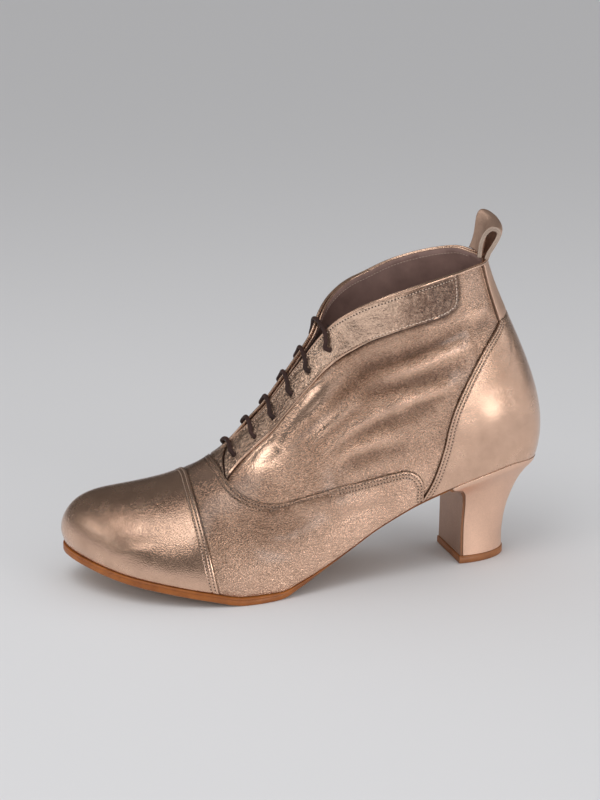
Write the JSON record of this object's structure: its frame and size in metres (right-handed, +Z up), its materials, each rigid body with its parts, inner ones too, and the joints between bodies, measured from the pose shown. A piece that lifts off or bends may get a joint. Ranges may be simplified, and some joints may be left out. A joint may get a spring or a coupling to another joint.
{
  "type": "ankle boot",
  "caption": "Heeled lace-up ankle boot in metallic leather, with a toe cap, collar bands, a heel counter, a pull loop and a shaped block heel.",
  "frame": {"origin": "middle of the top lift's underside, on the floor, in the boot's middle plane", "axes": "+X towards the toe, +Y towards the outer side of the foot, +Z up"},
  "size_m": [0.2542, 0.0893, 0.1847],
  "materials": {
    "sole_leather": "natural cognac leather, burnished edge",
    "top_lift": "cognac brown, satin",
    "lining_leather": "smooth taupe lining, matt",
    "heel_cover": "smooth rose-beige metallic, satin",
    "breast_cover": "rose-brown, satin",
    "upper_leather": "rose-gold metallic, finely pebbled",
    "cap_leather": "rose-gold metallic, smooth",
    "facing_leather": "crinkled metallic brown",
    "loop_leather": "rose-brown, satin, cut edges light",
    "tongue_leather": "very dark brown, matt",
    "lace_cotton": "dark brown waxed round cord"
  },
  "bodies": {
    "root": {"outsole": "sole_leather", "insole": "lining_leather", "heel": "heel_cover", "breast_flap": "breast_cover", "top_lift": "top_lift", "upper": "upper_leather", "toe_cap": "cap_leather", "vamp": "upper_leather", "outer_facing": "facing_leather", "inner_facing": "facing_leather", "counter": "cap_leather", "back_strap": "loop_leather", "pull_loop": "loop_leather", "tongue": "tongue_leather", "lace": "lace_cotton"}
  },
  "joints": []
}
